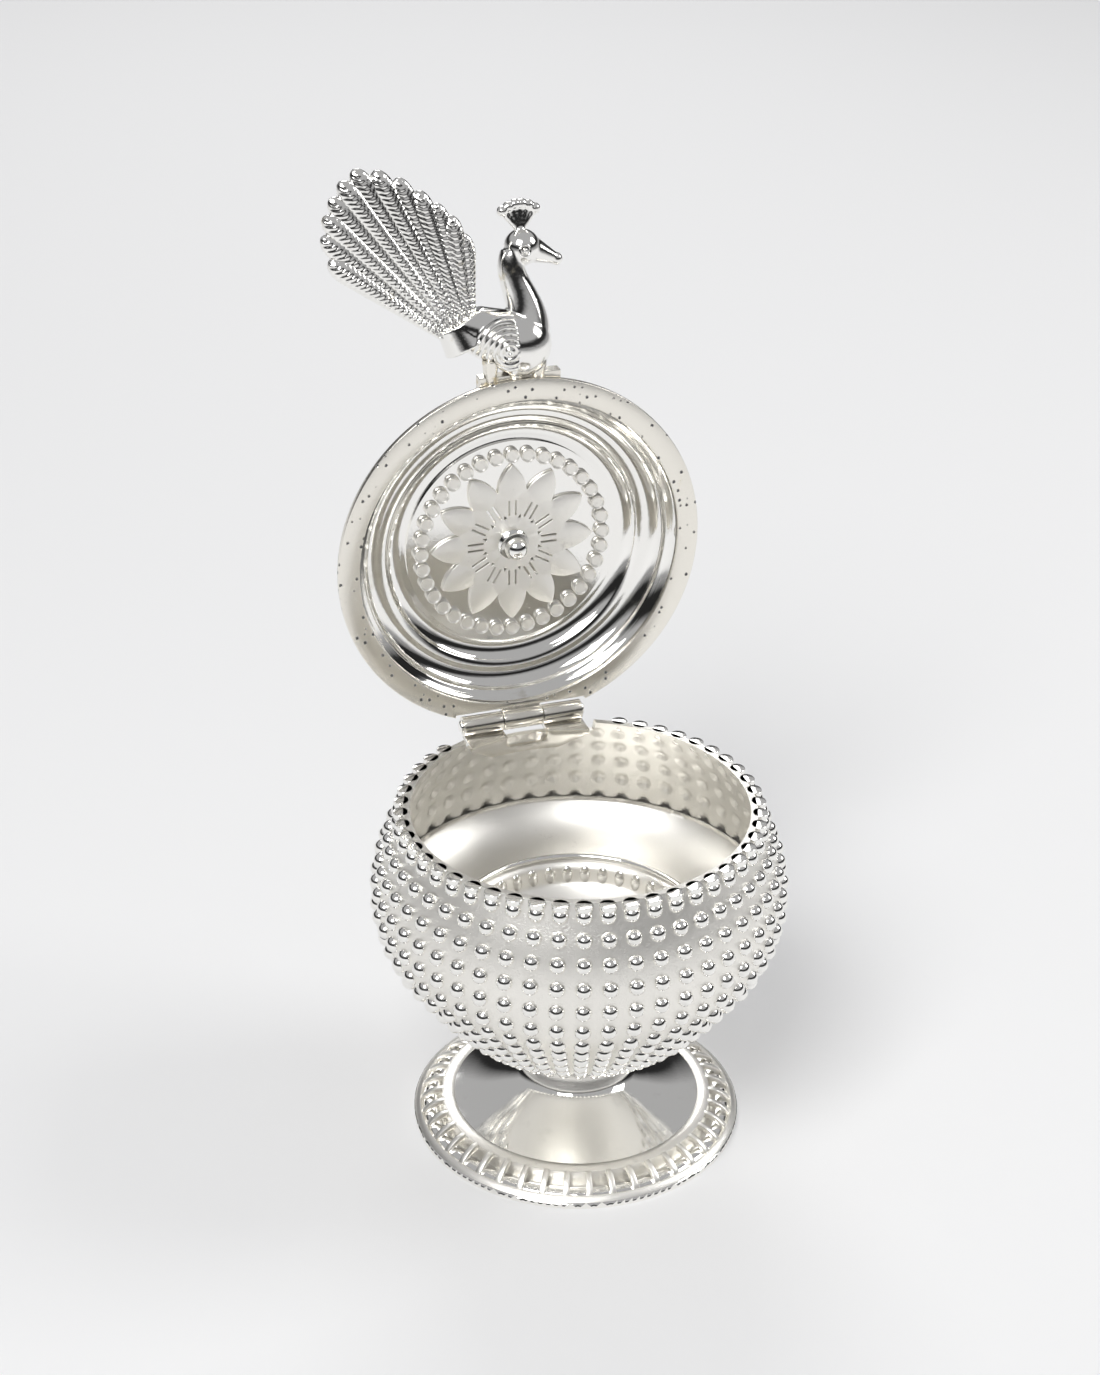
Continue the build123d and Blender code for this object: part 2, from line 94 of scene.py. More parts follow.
def connect(tree: Tree, *wires: tuple[Node, str, Node, str | int]) -> None:
    """Joins nodes by their sockets' names: from one node's output to another's input."""
    for source, output, target, place in wires:
        tree.links.new(source.outputs[output], target.inputs[place])


def deselect() -> None:
    """Deselects every object."""
    bpy.ops.object.select_all(action="DESELECT")


def pick(piece: Item) -> None:
    """Selects one piece alone and makes it active.

    Args:
        piece: The object that the next operators act on.
    """
    deselect()
    piece.select_set(True)
    bpy.context.view_layer.objects.active = piece


def new_primitive(name: str) -> Item:
    """Names the active object: the primitive just added, or the pieces just joined.

    Args:
        name: The object's and the mesh's name.

    Returns:
        The named object.
    """
    piece = bpy.context.active_object
    piece.name = name
    piece.data.name = name
    return piece


def apply_place(piece: Item) -> None:
    """Moves a piece's place, turn and scale into its mesh."""
    pick(piece)
    bpy.ops.object.transform_apply(location=True, rotation=True, scale=True)


def apply_modifier(piece: Item, kind: str, **values: object) -> None:
    """Adds a modifier and applies it at once.

    Args:
        piece: The object to change.
        kind: The modifier's type.
        **values: The modifier's settings.
    """
    pick(piece)
    modifier = piece.modifiers.new(kind.lower(), kind)
    for setting, value in values.items():
        setattr(modifier, setting, value)
    bpy.ops.object.modifier_apply(modifier=modifier.name)


def bevel(piece: Item, width: float, segments: int = 2, angle: float = EDGE_ANGLE) -> None:
    """Rounds a piece's sharp edges.

    Args:
        piece: The object to round.
        width: The rounding's width, in the mesh's own unit.
        segments: How many faces go round the edge.
        angle: Edges sharper than this are rounded, in degrees.
    """
    apply_modifier(piece, "BEVEL", width=width, segments=segments, limit_method="ANGLE",
                   angle_limit=math.radians(angle))


def spin_all(piece: Item, steps: int, angle: float, centre: Vector, axis: Vector, gap: float) -> None:
    """Spins all of a mesh and closes the result.

    Args:
        piece: The object to spin.
        steps: How many steps the spin has.
        angle: How far it spins, in radians.
        centre: A point on the axis, in metres.
        axis: The axis's direction.
        gap: Points nearer than this are merged, in millimetres.
    """
    pick(piece)
    bpy.ops.object.mode_set(mode="EDIT")
    bpy.ops.mesh.select_all(action="SELECT")
    bpy.ops.mesh.spin(steps=steps, angle=angle, center=centre, axis=axis)
    bpy.ops.object.mode_set(mode="OBJECT")
    clean_mesh(piece, gap * MM, outward=True)


def cut_ball(name: str, segments: int, rings: int, height: float, side: int) -> Item:
    """Models a ball of radius 1 with one end cut off flat.

    Args:
        name: The new object's name.
        segments: How many faces go round the ball.
        rings: How many rings it has.
        height: The height of the cut.
        side: 1 to cut off the top and -1 to cut off the bottom.

    Returns:
        The cut ball.
    """
    deselect()
    bpy.ops.mesh.primitive_uv_sphere_add(segments=segments, ring_count=rings, radius=1.0)
    ball = new_primitive(name)
    bpy.ops.object.mode_set(mode="EDIT")
    bpy.ops.mesh.select_all(action="SELECT")
    bpy.ops.mesh.bisect(plane_co=UP * height, plane_no=UP * side, clear_outer=True, use_fill=True)
    bpy.ops.object.mode_set(mode="OBJECT")
    return ball


def clean_mesh(piece: Item, gap: float, outward: bool) -> None:
    """Merges doubles, closes holes and turns faces outwards.

    Args:
        piece: The object to clean.
        gap: Points nearer than this are merged, in metres.
        outward: Whether the normals are worked out again.
    """
    pick(piece)
    bpy.ops.object.mode_set(mode="EDIT")
    bpy.ops.mesh.select_all(action="SELECT")
    bpy.ops.mesh.remove_doubles(threshold=gap)
    if outward:
        bpy.ops.mesh.fill_holes(sides=0)
        bpy.ops.mesh.normals_make_consistent(inside=False)
    bpy.ops.object.mode_set(mode="OBJECT")


def smooth(piece: Item, angle: float = 35.0) -> None:
    """Shades a piece smooth up to an edge angle in degrees."""
    pick(piece)
    bpy.ops.object.shade_smooth_by_angle(angle=math.radians(angle))


def reshape(piece: Item, move: Callable[[Vector], Vector]) -> None:
    """Moves each point of a mesh by a rule.

    Args:
        piece: The object whose mesh is changed.
        move: Gives a point's new place from its old one.
    """
    for vertex in piece.data.vertices:
        vertex.co = move(vertex.co)
    piece.data.update()


def repeat(pattern: Item, places: list[Matrix], name: str) -> Item:
    """Copies one model to many places as a single mesh, and deletes the model.

    Args:
        pattern: The object that is modelled once.
        places: Where each copy stands.
        name: The new piece's name.

    Returns:
        The joined copies.
    """
    mesh = bpy.data.meshes.new(name)
    builder = bmesh.new()
    for place in places:
        first = len(builder.verts)
        builder.from_mesh(pattern.data)
        builder.verts.ensure_lookup_table()
        bmesh.ops.transform(builder, matrix=place, verts=builder.verts[first:])
    builder.to_mesh(mesh)
    builder.free()
    piece = bpy.data.objects.new(name, mesh)
    bpy.context.scene.collection.objects.link(piece)
    bpy.data.objects.remove(pattern)
    return piece


def spun(name: str, outline: Outline | list[Pair], steps: int, turn: float = 360.0) -> Item:
    """Spins a closed outline about the box's axis.

    Args:
        name: The new piece's name.
        outline: Radius and height of each corner, in millimetres.
        steps: How many steps the spin has.
        turn: How far it spins, in degrees.

    Returns:
        The spun piece, closed and facing outwards.
    """
    count = len(outline)
    mesh = bpy.data.meshes.new(name)
    mesh.from_pydata([(radius * MM, 0, height * MM) for radius, height in outline],
                     [(i, (i + 1) % count) for i in range(count)], [])
    piece = bpy.data.objects.new(name, mesh)
    bpy.context.scene.collection.objects.link(piece)
    spin_all(piece, steps, math.radians(turn), Vector((0, 0, 0)), UP, SPUN_GAP)
    return piece


def joined(parts: list[Item], name: str) -> Item:
    """Joins several objects into one piece.

    Args:
        parts: The objects to join.
        name: The piece's name.

    Returns:
        The joined piece.
    """
    deselect()
    for part in parts:
        part.select_set(True)
    bpy.context.view_layer.objects.active = parts[0]
    bpy.ops.object.join()
    return new_primitive(name)


def column_turn(index: float, count: int) -> Matrix:
    """Turn about the box's axis to one of a number of equal places."""
    return Matrix.Rotation(2 * math.pi * index / count, 4, "Z")


def scaled(across: float, deep: float, tall: float) -> Matrix:
    """Scale of a copy along its own X, Y and Z, given in millimetres."""
    return Matrix.Diagonal((across * MM, deep * MM, tall * MM, 1))


def frame_at(origin: Vector, outward: Vector, along: Vector) -> Matrix:
    """Place of a copy whose Z points outward and whose X lies along a direction.

    Args:
        origin: Where the copy stands.
        outward: Its Z direction.
        along: Its X direction, square to outward.

    Returns:
        The copy's matrix.
    """
    axis_z = outward.normalized()
    axis_x = along.normalized()
    axis_y = axis_z.cross(axis_x)
    turn = Matrix((axis_x, axis_y, axis_z)).transposed().to_4x4()
    return Matrix.Translation(origin) @ turn


def dress(piece: Item, body: Body, slot: str, finish: "Finish", nodes: tuple[str, ...] = ()) -> None:
    """Gives a finished piece its body and its finish, and hides the nodes that it stands for.

    Args:
        piece: The finished piece.
        body: The body that it moves with.
        slot: The record's material slot. Not used.
        finish: Its surface.
        nodes: The solids that it replaces.
    """
    piece.data.materials.clear()
    piece.data.materials.append(finish.material())
    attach(piece, body.value)
    if nodes:
        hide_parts(*nodes)
    LOG.info("%s: %d faces on %s", piece.name, len(piece.data.polygons), body.value)


class EffectGroups:
    """Builds each shared effect once and hands out its node group."""

    CLOUD_TOP = 0.78
    CLOUD_REACH = 0.42
    CLOUD_FADE = 0.14
    CLOUD_DETAIL = 6.0
    CLOUD_ROUGHNESS = 0.62
    GRAIN_DETAIL = 4.0
    GRAIN_ROUGHNESS = 0.7
    PIT_EDGE = 0.24
    PIT_FLOOR = 0.12
    SPUN_DETAIL = 3.0

    @staticmethod
    def start(effect: Effect, inputs: tuple[str, ...], output: str) -> tuple[Tree, Node, Node]:
        """Makes an empty group with named sockets.

        Args:
            effect: Which effect it is.
            inputs: Its number inputs, beside the Vector that each effect reads.
            output: The name of its one value output.

        Returns:
            The group and its input and output nodes.
        """
        tree = bpy.data.node_groups.new(effect.value, "ShaderNodeTree")
        tree.interface.new_socket(name="Vector", in_out="INPUT", socket_type="NodeSocketVector")
        for name in inputs:
            kind = "NodeSocketVector" if name == "Centre" else "NodeSocketFloat"
            tree.interface.new_socket(name=name, in_out="INPUT", socket_type=kind)
        tree.interface.new_socket(name=output, in_out="OUTPUT", socket_type="NodeSocketFloat")
        return tree, tree.nodes.new("NodeGroupInput"), tree.nodes.new("NodeGroupOutput")

    @staticmethod
    def maths(tree: Tree, operation: str, first: Socket | float, second: Socket | float) -> Socket:
        """Places one step of arithmetic.

        Args:
            tree: The group's nodes.
            operation: Which step.
            first: A number or the socket that gives it.
            second: A number or the socket that gives it.

        Returns:
            The result's socket.
        """
        node = tree.nodes.new("ShaderNodeMath")
        node.operation = operation
        for place, value in zip(node.inputs, (first, second)):
            if isinstance(value, float):
                place.default_value = value
            else:
                tree.links.new(value, place)
        return node.outputs[0]

    @staticmethod
    def noise(tree: Tree, ends: Node, detail: float, roughness: float) -> Socket:
        """Places a noise that reads the group's Vector and Scale.

        Args:
            tree: The group's nodes.
            ends: The group's input node.
            detail: How many finer layers it has.
            roughness: How strong the finer layers are.

        Returns:
            The noise's value.
        """
        node = tree.nodes.new("ShaderNodeTexNoise")
        node.inputs["Detail"].default_value = detail
        node.inputs["Roughness"].default_value = roughness
        connect(tree, (ends, "Vector", node, "Vector"), (ends, "Scale", node, "Scale"))
        return node.outputs["Fac"]

    @classmethod
    def get(cls, effect: Effect) -> Tree:
        """Returns an effect's group, built at its first use."""
        found = bpy.data.node_groups.get(effect.value)
        if found:
            return found
        builders = {Effect.CLOUD: cls.cloud, Effect.GRAIN: cls.grain, Effect.PITS: cls.pits,
                    Effect.SPUN: cls.spun}
        return builders[effect]()

    @classmethod
    def cloud(cls) -> Tree:
        """Soft patches: a mask from 0 to 1 whose share of the surface is its Amount."""
        tree, ends, out = cls.start(Effect.CLOUD, ("Scale", "Amount"), "Mask")
        noise = cls.noise(tree, ends, cls.CLOUD_DETAIL, cls.CLOUD_ROUGHNESS)
        reach = cls.maths(tree, "MULTIPLY", ends.outputs["Amount"], cls.CLOUD_REACH)
        lower = cls.maths(tree, "SUBTRACT", cls.CLOUD_TOP, reach)
        upper = cls.maths(tree, "ADD", lower, cls.CLOUD_FADE)
        ramp = tree.nodes.new("ShaderNodeMapRange")
        ramp.interpolation_type = "SMOOTHSTEP"
        for value, name in ((noise, "Value"), (lower, "From Min"), (upper, "From Max")):
            tree.links.new(value, ramp.inputs[name])
        connect(tree, (ramp, "Result", out, "Mask"))
        return tree

    @classmethod
    def grain(cls) -> Tree:
        """Fine frosted ground: a height from 0 to 1."""
        tree, ends, out = cls.start(Effect.GRAIN, ("Scale",), "Height")
        noise = cls.noise(tree, ends, cls.GRAIN_DETAIL, cls.GRAIN_ROUGHNESS)
        tree.links.new(noise, out.inputs["Height"])
        return tree

    @classmethod
    def pits(cls) -> Tree:
        """Small casting pits: a mask that is 1 in each pit."""
        tree, ends, out = cls.start(Effect.PITS, ("Scale", "Amount"), "Mask")
        cells = tree.nodes.new("ShaderNodeTexVoronoi")
        cells.inputs["Randomness"].default_value = 1.0
        inside = tree.nodes.new("ShaderNodeMapRange")
        inside.inputs["From Min"].default_value = cls.PIT_EDGE
        inside.inputs["From Max"].default_value = cls.PIT_FLOOR
        channel = tree.nodes.new("ShaderNodeSeparateColor")
        connect(tree, (ends, "Vector", cells, "Vector"), (ends, "Scale", cells, "Scale"),
                (cells, "Distance", inside, "Value"), (cells, "Color", channel, "Color"))
        chosen = cls.maths(tree, "LESS_THAN", channel.outputs["Red"], ends.outputs["Amount"])
        mask = cls.maths(tree, "MULTIPLY", inside.outputs["Result"], chosen)
        tree.links.new(mask, out.inputs["Mask"])
        return tree

    @classmethod
    def spun(cls) -> Tree:
        """Lines left by spinning: a height that changes only with the distance from a centre."""
        tree, ends, out = cls.start(Effect.SPUN, ("Centre", "Scale"), "Height")
        offset = tree.nodes.new("ShaderNodeVectorMath")
        offset.operation = "SUBTRACT"
        reach = tree.nodes.new("ShaderNodeVectorMath")
        reach.operation = "LENGTH"
        noise = tree.nodes.new("ShaderNodeTexNoise")
        noise.noise_dimensions = "1D"
        noise.inputs["Detail"].default_value = cls.SPUN_DETAIL
        connect(tree, (ends, "Vector", offset, 0), (ends, "Centre", offset, 1),
                (offset, "Vector", reach, 0), (reach, "Value", noise, "W"),
                (ends, "Scale", noise, "Scale"), (noise, "Fac", out, "Height"))
        return tree


@dataclass(frozen=True)
class Finish:
    """One silver surface: its colours, polish, grain, pits and tarnish, with a painted dark reflection in the
    patches of the medallion's ground. Sizes in millimetres.
    """

    name: str
    colour: Colour
    # Colour of the darker random patches: tarnish, and on the medallion's ground a painted dark reflection.
    stain_and_dark_reflection: Colour
    rough_low: float
    rough_high: float
    cloud_size: float
    cloud_amount: float
    grain_size: float
    grain_depth: float
    pit_size: float = 1.0
    pit_amount: float = 0.0
    pit_depth: float = 0.08
    pit_colour: Colour = (0.10, 0.10, 0.11)
    spun_centre: Point | None = None
    spun_depth: float = 0.012
    spun_pitch: float = 0.35

    def place_group(self, tree: Tree, effect: Effect, source: Socket,
                    **values: float | Point) -> Node:
        """Places a shared effect in the material.

        Args:
            tree: The material's nodes.
            effect: Which effect.
            source: The coordinates that it reads.
            **values: Its inputs by name.

        Returns:
            The group's node.
        """
        node = tree.nodes.new("ShaderNodeGroup")
        node.node_tree = EffectGroups.get(effect)
        tree.links.new(source, node.inputs["Vector"])
        for name, value in values.items():
            node.inputs[name].default_value = value
        return node

    def blend_colour(self, tree: Tree, mask: Socket,
                     first: Socket | Colour, second: Colour) -> Socket:
        """Mixes two colours by a mask.

        Args:
            tree: The material's nodes.
            mask: Where the second colour shows.
            first: A colour or the socket that gives one.
            second: The other colour.

        Returns:
            The mixed colour's socket.
        """
        mix = tree.nodes.new("ShaderNodeMix")
        mix.data_type = "RGBA"
        tree.links.new(mask, mix.inputs["Factor"])
        if isinstance(first, tuple):
            mix.inputs["A"].default_value = (*first, 1.0)
        else:
            tree.links.new(first, mix.inputs["A"])
        mix.inputs["B"].default_value = (*second, 1.0)
        return mix.outputs["Result"]

    def material(self) -> bpy.types.Material:
        """Builds the finish's material, or returns it if it is built."""
        found = bpy.data.materials.get(self.name)
        if found:
            return found
        made = bpy.data.materials.new(self.name)
        made.use_nodes = True
        tree = made.node_tree
        surface = tree.nodes["Principled BSDF"]
        surface.inputs["Metallic"].default_value = 1.0
        place = tree.nodes.new("ShaderNodeTexCoord").outputs["Object"]
        cloud = self.place_group(tree, Effect.CLOUD, place, Scale=1 / (self.cloud_size * MM),
                                 Amount=self.cloud_amount)
        grain = self.place_group(tree, Effect.GRAIN, place, Scale=1 / (self.grain_size * MM))
        # Mixes in the darker patches by the cloud mask: tarnish, and on the medallion's ground a painted dark
        # reflection.
        colour = self.blend_colour(tree, cloud.outputs["Mask"], self.colour, self.stain_and_dark_reflection)
        polish = tree.nodes.new("ShaderNodeMapRange")
        polish.inputs["To Min"].default_value = self.rough_low
        polish.inputs["To Max"].default_value = self.rough_high
        connect(tree, (cloud, "Mask", polish, "Value"), (polish, "Result", surface, "Roughness"))
        normal = self.add_bump(tree, grain.outputs["Height"], self.grain_depth, None)
        if self.spun_centre:
            rings = self.place_group(tree, Effect.SPUN, place, Scale=1 / (self.spun_pitch * MM),
                                     Centre=self.spun_centre)
            normal = self.add_bump(tree, rings.outputs["Height"], self.spun_depth, normal)
        if self.pit_amount > 0:
            pits = self.place_group(tree, Effect.PITS, place, Scale=1 / (self.pit_size * MM),
                                    Amount=self.pit_amount)
            colour = self.blend_colour(tree, pits.outputs["Mask"], colour, self.pit_colour)
            normal = self.add_bump(tree, pits.outputs["Mask"], -self.pit_depth, normal)
        tree.links.new(colour, surface.inputs["Base Color"])
        tree.links.new(normal, surface.inputs["Normal"])
        return made

    def add_bump(self, tree: Tree, height: Socket, depth: float,
                 below: Socket | None) -> Socket:
        """Adds a bump on top of another.

        Args:
            tree: The material's nodes.
            height: The socket that gives the height from 0 to 1.
            depth: How deep the height is, in millimetres. A negative one sinks it.
            below: The normal under this bump.

        Returns:
            The bump's normal.
        """
        bump = tree.nodes.new("ShaderNodeBump")
        bump.invert = depth < 0
        bump.inputs["Distance"].default_value = abs(depth) * MM
        tree.links.new(height, bump.inputs["Height"])
        if below is not None:
            tree.links.new(below, bump.inputs["Normal"])
        return bump.outputs["Normal"]


SILVER = (0.93, 0.92, 0.89)
CREAM = (0.90, 0.87, 0.80)
FROST = (0.95, 0.93, 0.88)
YELLOWED = (0.74, 0.64, 0.44)
SHADOWED = (0.66, 0.64, 0.60)

POLISHED = Finish("polished_silver", SILVER, (0.84, 0.83, 0.80), 0.06, 0.16, 7.0, 0.45, 0.5, 0.004)
BEAD_POLISH = Finish("bead_silver", SILVER, (0.86, 0.85, 0.82), 0.10, 0.20, 5.0, 0.5, 0.4, 0.004)
BOWL_GROUND = Finish("bowl_ground", FROST, SHADOWED, 0.36, 0.48, 5.0, 0.3, 0.3, 0.07)
FROSTED = Finish("frosted_silver", FROST, SHADOWED, 0.36, 0.48, 5.0, 0.35, 0.22, 0.03)
FLANGE_SATIN = Finish("flange_silver", CREAM, YELLOWED, 0.26, 0.36, 9.0, 0.32, 0.35, 0.02,
                      pit_size=1.2, pit_amount=0.5, pit_depth=0.10)
HINGE_SATIN = Finish("hinge_silver", CREAM, YELLOWED, 0.18, 0.34, 4.0, 0.30, 0.3, 0.012,
                     pit_size=1.6, pit_amount=0.12)
# The medallion's ground takes a grey patch colour that is a painted dark reflection, darkening its mirror.
MEDALLION_GROUND = Finish("medallion_ground", SILVER, (0.60, 0.60, 0.60), 0.08, 0.2, 5.0, 0.35, 0.4, 0.006)
CASTING = Finish("casting_silver", SILVER, (0.78, 0.72, 0.58), 0.10, 0.24, 3.0, 0.40, 0.35, 0.010)
CASTING_BASE = Finish("casting_base", CREAM, YELLOWED, 0.22, 0.40, 2.5, 0.55, 0.30, 0.03)


def solid_copy(node: str, edge: float = 0.0) -> Item:
    """Copies a solid's mesh into a new piece, merged and smoothed.

    Args:
        node: The solid's name.
        edge: The rounding of its edges, in millimetres.

    Returns:
        The new piece, with no body yet.
    """
    piece = bpy.data.objects.new(node + "_dressed", bpy.data.objects[node].data.copy())
    bpy.context.scene.collection.objects.link(piece)
    clean_mesh(piece, MERGE_GAP * MM, outward=False)
    if edge > 0:
        bevel(piece, edge * MM)
    smooth(piece)
    return piece


def carry(node: str, body: Body, slot: str, finish: Finish, edge: float = 0.0) -> None:
    """Dresses a smooth copy of a solid whose shape is right, with its edges rounded by edge millimetres."""
    dress(solid_copy(node, edge), body, slot, finish, (node,))


@dataclass
class Foot:
    """The pierced foot, the trumpet stem and its collar. Outlines give radius and height in millimetres."""

    stem_outline: Outline = (
        (6.4, 8.4), (7.3, 8.4), (7.6, 7.7), (8.7, 6.9), (10.6, 5.9), (13.2, 4.8), (15.8, 3.95), (18.2, 3.35),
        (17.9, 2.3), (15.4, 3.1), (12.8, 4.0), (10.0, 5.1), (7.9, 6.1), (6.6, 7.2))
    collar_outline: Outline = (
        (5.0, 8.2), (8.0, 8.2), (8.5, 8.6), (8.5, 9.1), (7.9, 9.7), (7.6, 10.8), (7.8, 12.2), (8.6, 13.6),
        (9.6, 14.5), (5.0, 14.5))
    band_outline: Outline = (
        (17.9, 1.0), (17.9, 3.2), (18.4, 3.5), (19.2, 3.55), (20.0, 3.3), (20.1, 2.6), (20.0, 1.0))
    rim_outline: Outline = (
        (22.9, 0.9), (22.9, 1.4), (23.3, 1.65), (23.8, 1.45), (24.2, 0.9))
    rib_outline: Outline = (
        (19.8, 2.4), (19.8, 3.42), (20.8, 3.3), (21.8, 2.85), (22.7, 2.15), (23.4, 1.35), (22.8, 1.1),
        (22.2, 1.6), (21.4, 2.15), (20.6, 2.45))
    rib_count: int = 42
    rib_turn: float = 2.3
    rib_edge: float = 0.12
    rib_steps: int = 2
    steps: int = 144

    def border(self) -> Item:
        """Models the border: the inner band, the outer rim and the sloping ribs with open windows between."""
        rib = spun("rib", self.rib_outline, self.rib_steps, self.rib_turn)
        bevel(rib, self.rib_edge * MM)
        turns = [column_turn(index, self.rib_count) for index in range(self.rib_count)]
        ribs = repeat(rib, turns, "border_ribs")
        band = spun("border_band", self.band_outline, self.steps)
        rim = spun("border_rim", self.rim_outline, self.steps)
        return joined([band, rim, ribs], "foot_gallery")

    def build(self) -> None:
        """Builds the foot's pieces."""
        carry("foot_plate", Body.BASE, "polished_foot", POLISHED)
        border = self.border()
        smooth(border, TRIM_ANGLE)
        dress(border, Body.BASE, "matte_foot", FROSTED, ("foot_border",))
        for name, outline, slot, finish, node in (
                ("trumpet_stem", self.stem_outline, "polished_stem", POLISHED, "stem"),
                ("waisted_collar", self.collar_outline, "matte_collar", FROSTED, "stem_collar")):
            piece = spun(name, outline, self.steps)
            smooth(piece, ROUND_ANGLE)
            dress(piece, Body.BASE, slot, finish, (node,))


@dataclass
class Bowl:
    """The bowl's shell, its rows of beads, its scalloped mouth and its raised floor. Sizes in millimetres."""

    columns: int = 50
    bead_radius: float = 1.25
    bead_share: float = 0.43
    bead_sink: float = 0.2
    bead_segments: int = 12
    bead_rings: int = 8
    bead_cut: float = -0.15
    first_drop: float = 1.75
    row_pitch: float = 3.9
    row_share: float = 1.02
    lowest_row: float = 16.5
    mouth: float = 52.6
    wall: float = 1.0
    base_height: float = 10.2
    base_lift: float = 3.9
    turn_height: float = 24.0
    probe_radius: float = 60.0
    profile_step: float = 0.1
    rim_step: float = 0.5
    end_margin: float = 0.02
    inside_margin: float = 0.1
    inside_least: float = 0.5
    cells_per_column: int = 8
    dimple_radius: float = 1.0
    dimple_depth: float = 0.5
    lining_low: float = 30.0
    lining_top_gap: float = 0.4
    lining_least: float = 10.0
    lining_share: float = 0.6
    notch_half: float = 10.1
    notch_floor: float = 50.75
    notch_depth: float = 20.0
    notch_place: float = 25.0
    scallop_width: float = 1.28
    scallop_reach: float = 1.15
    scallop_drop: float = 0.75
    scallop_edge: float = 0.2
    scallop_cut: float = 0.35
    scallop_faces: tuple[int, int, int] = (16, 10, 3)
    oval_count: int = 40
    oval_radius: float = 16.95
    oval_height: float = 30.4
    floor_lift: float = 3.5
    floor_wall: float = 19.0
    floor_spread: float = 0.7
    floor_slope: float = 8.0
    oval_tilt: float = 0.28
    oval_size: Point = (0.85, 1.35, 0.35)
    profile: list[Pair] = field(default_factory=list)

    def outer_radius(self, height: float) -> float:
        """Radius of the solid bowl's outside at a height, in millimetres."""
        start = Vector((0, -self.probe_radius * MM, height * MM))
        hit, place, _, _ = bpy.data.objects["bowl"].ray_cast(start, BACK)
        return -place.y / MM if hit else 0.0

    def outline(self) -> list[Pair]:
        """Points down the bowl's outside, from the mouth to the collar, a small step apart.

        Returns:
            Radius and height of each point, found once while the solid still shows.
        """
        if not self.profile:
            drop = self.mouth - self.base_height
            steps = int(drop / self.profile_step)
            top, span = self.mouth - self.end_margin, drop - 2 * self.end_margin
            heights = [top - span * i / steps for i in range(steps + 1)]
            self.profile = [(self.outer_radius(height), self.lifted(height)) for height in heights]
        return self.profile

    def lifted(self, height: float) -> float:
        """Height with the bowl's underside raised, so that it turns under as roundly as the real one."""
        share = max(0.0, (self.turn_height - height) / (self.turn_height - self.base_height))
        return height + self.base_lift * share

    def rows(self) -> list[tuple[float, float, Vector]]:
        """Bead rows down the outside, closer together where the bowl narrows.

        Returns:
            Radius, height and outward direction (radius, 0, height) of each row.
        """
        points = self.outline()
        found = []
        walked, wanted = 0.0, self.first_drop
        for (r0, z0), (r1, z1) in zip(points, points[1:]):
            walked += math.hypot(r1 - r0, z1 - z0)
            if walked < wanted or z1 < self.lowest_row:
                continue
            found.append((r1, z1, Vector((z0 - z1, 0, r1 - r0)).normalized()))
            wanted += min(self.row_pitch, self.row_share * 2 * math.pi * r1 / self.columns)
        return found

    def shell(self) -> Item:
        """Spins the bowl's wall, presses the beads' hollows into its inside and cuts the hinge's notch.

        Returns:
            The shell.
        """
        points = self.outline()
        every = max(1, int(self.rim_step / self.profile_step))
        base = self.lifted(self.base_height)
        outside = points[::every] + [(points[-1][0], base), (0.0, base)]
        inside = []
        for (r0, z0), (r1, z1) in zip(outside[:-2], outside[1:-1]):
            slope = Vector((z0 - z1, r1 - r0)).normalized()
            inside.append((r0 - slope.x * self.wall, z0 - slope.y * self.wall))
        floor = base + self.wall
        inside = [place for place in inside
                  if place[1] > floor + self.inside_margin and place[0] > self.inside_least]
        ring = [(points[0][0], self.mouth)] + outside[1:] + [(0.0, floor)] + inside[:0:-1]
        ring.append((points[0][0] - self.wall, self.mouth))
        piece = spun("bowl_shell", ring, self.columns * self.cells_per_column)
        self.press_hollows(piece)
        self.cut_notch(piece)
        smooth(piece)
        return piece

    def press_hollows(self, piece: Item) -> None:
        """Presses a shallow hollow behind each bead into the bowl's inside."""
        rows = [(r - out.x * self.wall, z - out.z * self.wall) for r, z, out in self.rows()]
        pitch = 2 * math.pi / self.columns

        def move(point: Vector) -> Vector:
            """Gives a point of the lining its place in its hollow."""
            radius, height = math.hypot(point.x, point.y) / MM, point.z / MM
            lined = self.lining_low <= height <= self.mouth - self.lining_top_gap
            if not lined or radius < self.lining_least:
                return point
            if self.outer_radius_near(height) - radius < self.lining_share * self.wall:
                return point
            angle = math.atan2(point.y, point.x) / pitch
            across = (angle - round(angle)) * pitch * radius
            reach = min(math.hypot(across, math.hypot(radius - r, height - z)) for r, z in rows)
            push = self.dimple_depth * max(0.0, 1 - (reach / self.dimple_radius) ** 2)
            return point + Vector((point.x, point.y, 0)).normalized() * push * MM

        reshape(piece, move)

    def outer_radius_near(self, height: float) -> float:
        """Outside radius at a height, from the outline that is already found."""
        points = self.outline()
        index = int((points[0][1] - height) / self.profile_step)
        return points[max(0, min(index, len(points) - 1))][0]

    def cut_notch(self, piece: Item) -> None:
        """Cuts the mouth away where the hinge stands."""
        middle = self.notch_floor + self.notch_depth / 2
        bpy.ops.mesh.primitive_cube_add(size=1, location=(0, self.notch_place * MM, middle * MM))
        cutter = new_primitive("notch_cutter")
        cutter.scale = (2 * self.notch_half * MM, self.notch_depth * MM, self.notch_depth * MM)
        apply_place(cutter)
        apply_modifier(piece, "BOOLEAN", operation="DIFFERENCE", object=cutter, solver="EXACT")
        bpy.data.objects.remove(cutter)

    def in_notch(self, place: Vector, height: float, margin: float) -> bool:
        """Whether a bead at this place would stand in the hinge's notch."""
        beside = abs(place.x) < (self.notch_half + margin) * MM
        return place.y > 0 and beside and height > self.notch_floor - margin

    def one_bead(self) -> Item:
        """Models one bead: a ball cut flat a little below its middle."""
        return cut_ball("bead", self.bead_segments, self.bead_rings, self.bead_cut, -1)

